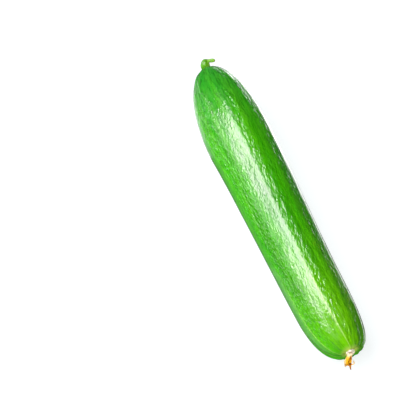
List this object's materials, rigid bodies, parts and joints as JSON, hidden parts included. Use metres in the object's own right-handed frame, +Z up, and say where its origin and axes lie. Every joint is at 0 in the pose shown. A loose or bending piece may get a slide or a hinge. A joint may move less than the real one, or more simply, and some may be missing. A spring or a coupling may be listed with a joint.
{
  "type": "mini cucumber",
  "caption": "Whole picked mini cucumber lying on its side, with the bent stub of its stem at one end and the dried flower at the other.",
  "frame": {"origin": "under the middle of the whole part, on the surface it lies on", "axes": "+X along the fruit towards its dried flower, +Y to its left seen from the stem, +Z up"},
  "size_m": [0.186, 0.0338, 0.0337],
  "materials": {
    "skin": "glossy thin green vegetable skin, faintly streaked light and dark from end to end",
    "stem": "fresh, slightly waxy yellow-green stalk",
    "collar": "dry, matte, corky cream",
    "petal": "dry, matte, shrivelled petal, ochre to orange-brown"
  },
  "bodies": {
    "root": {"fruit": "skin", "stem": "stem", "flower_collar": "collar", "flower_petals": "petal"}
  },
  "joints": []
}
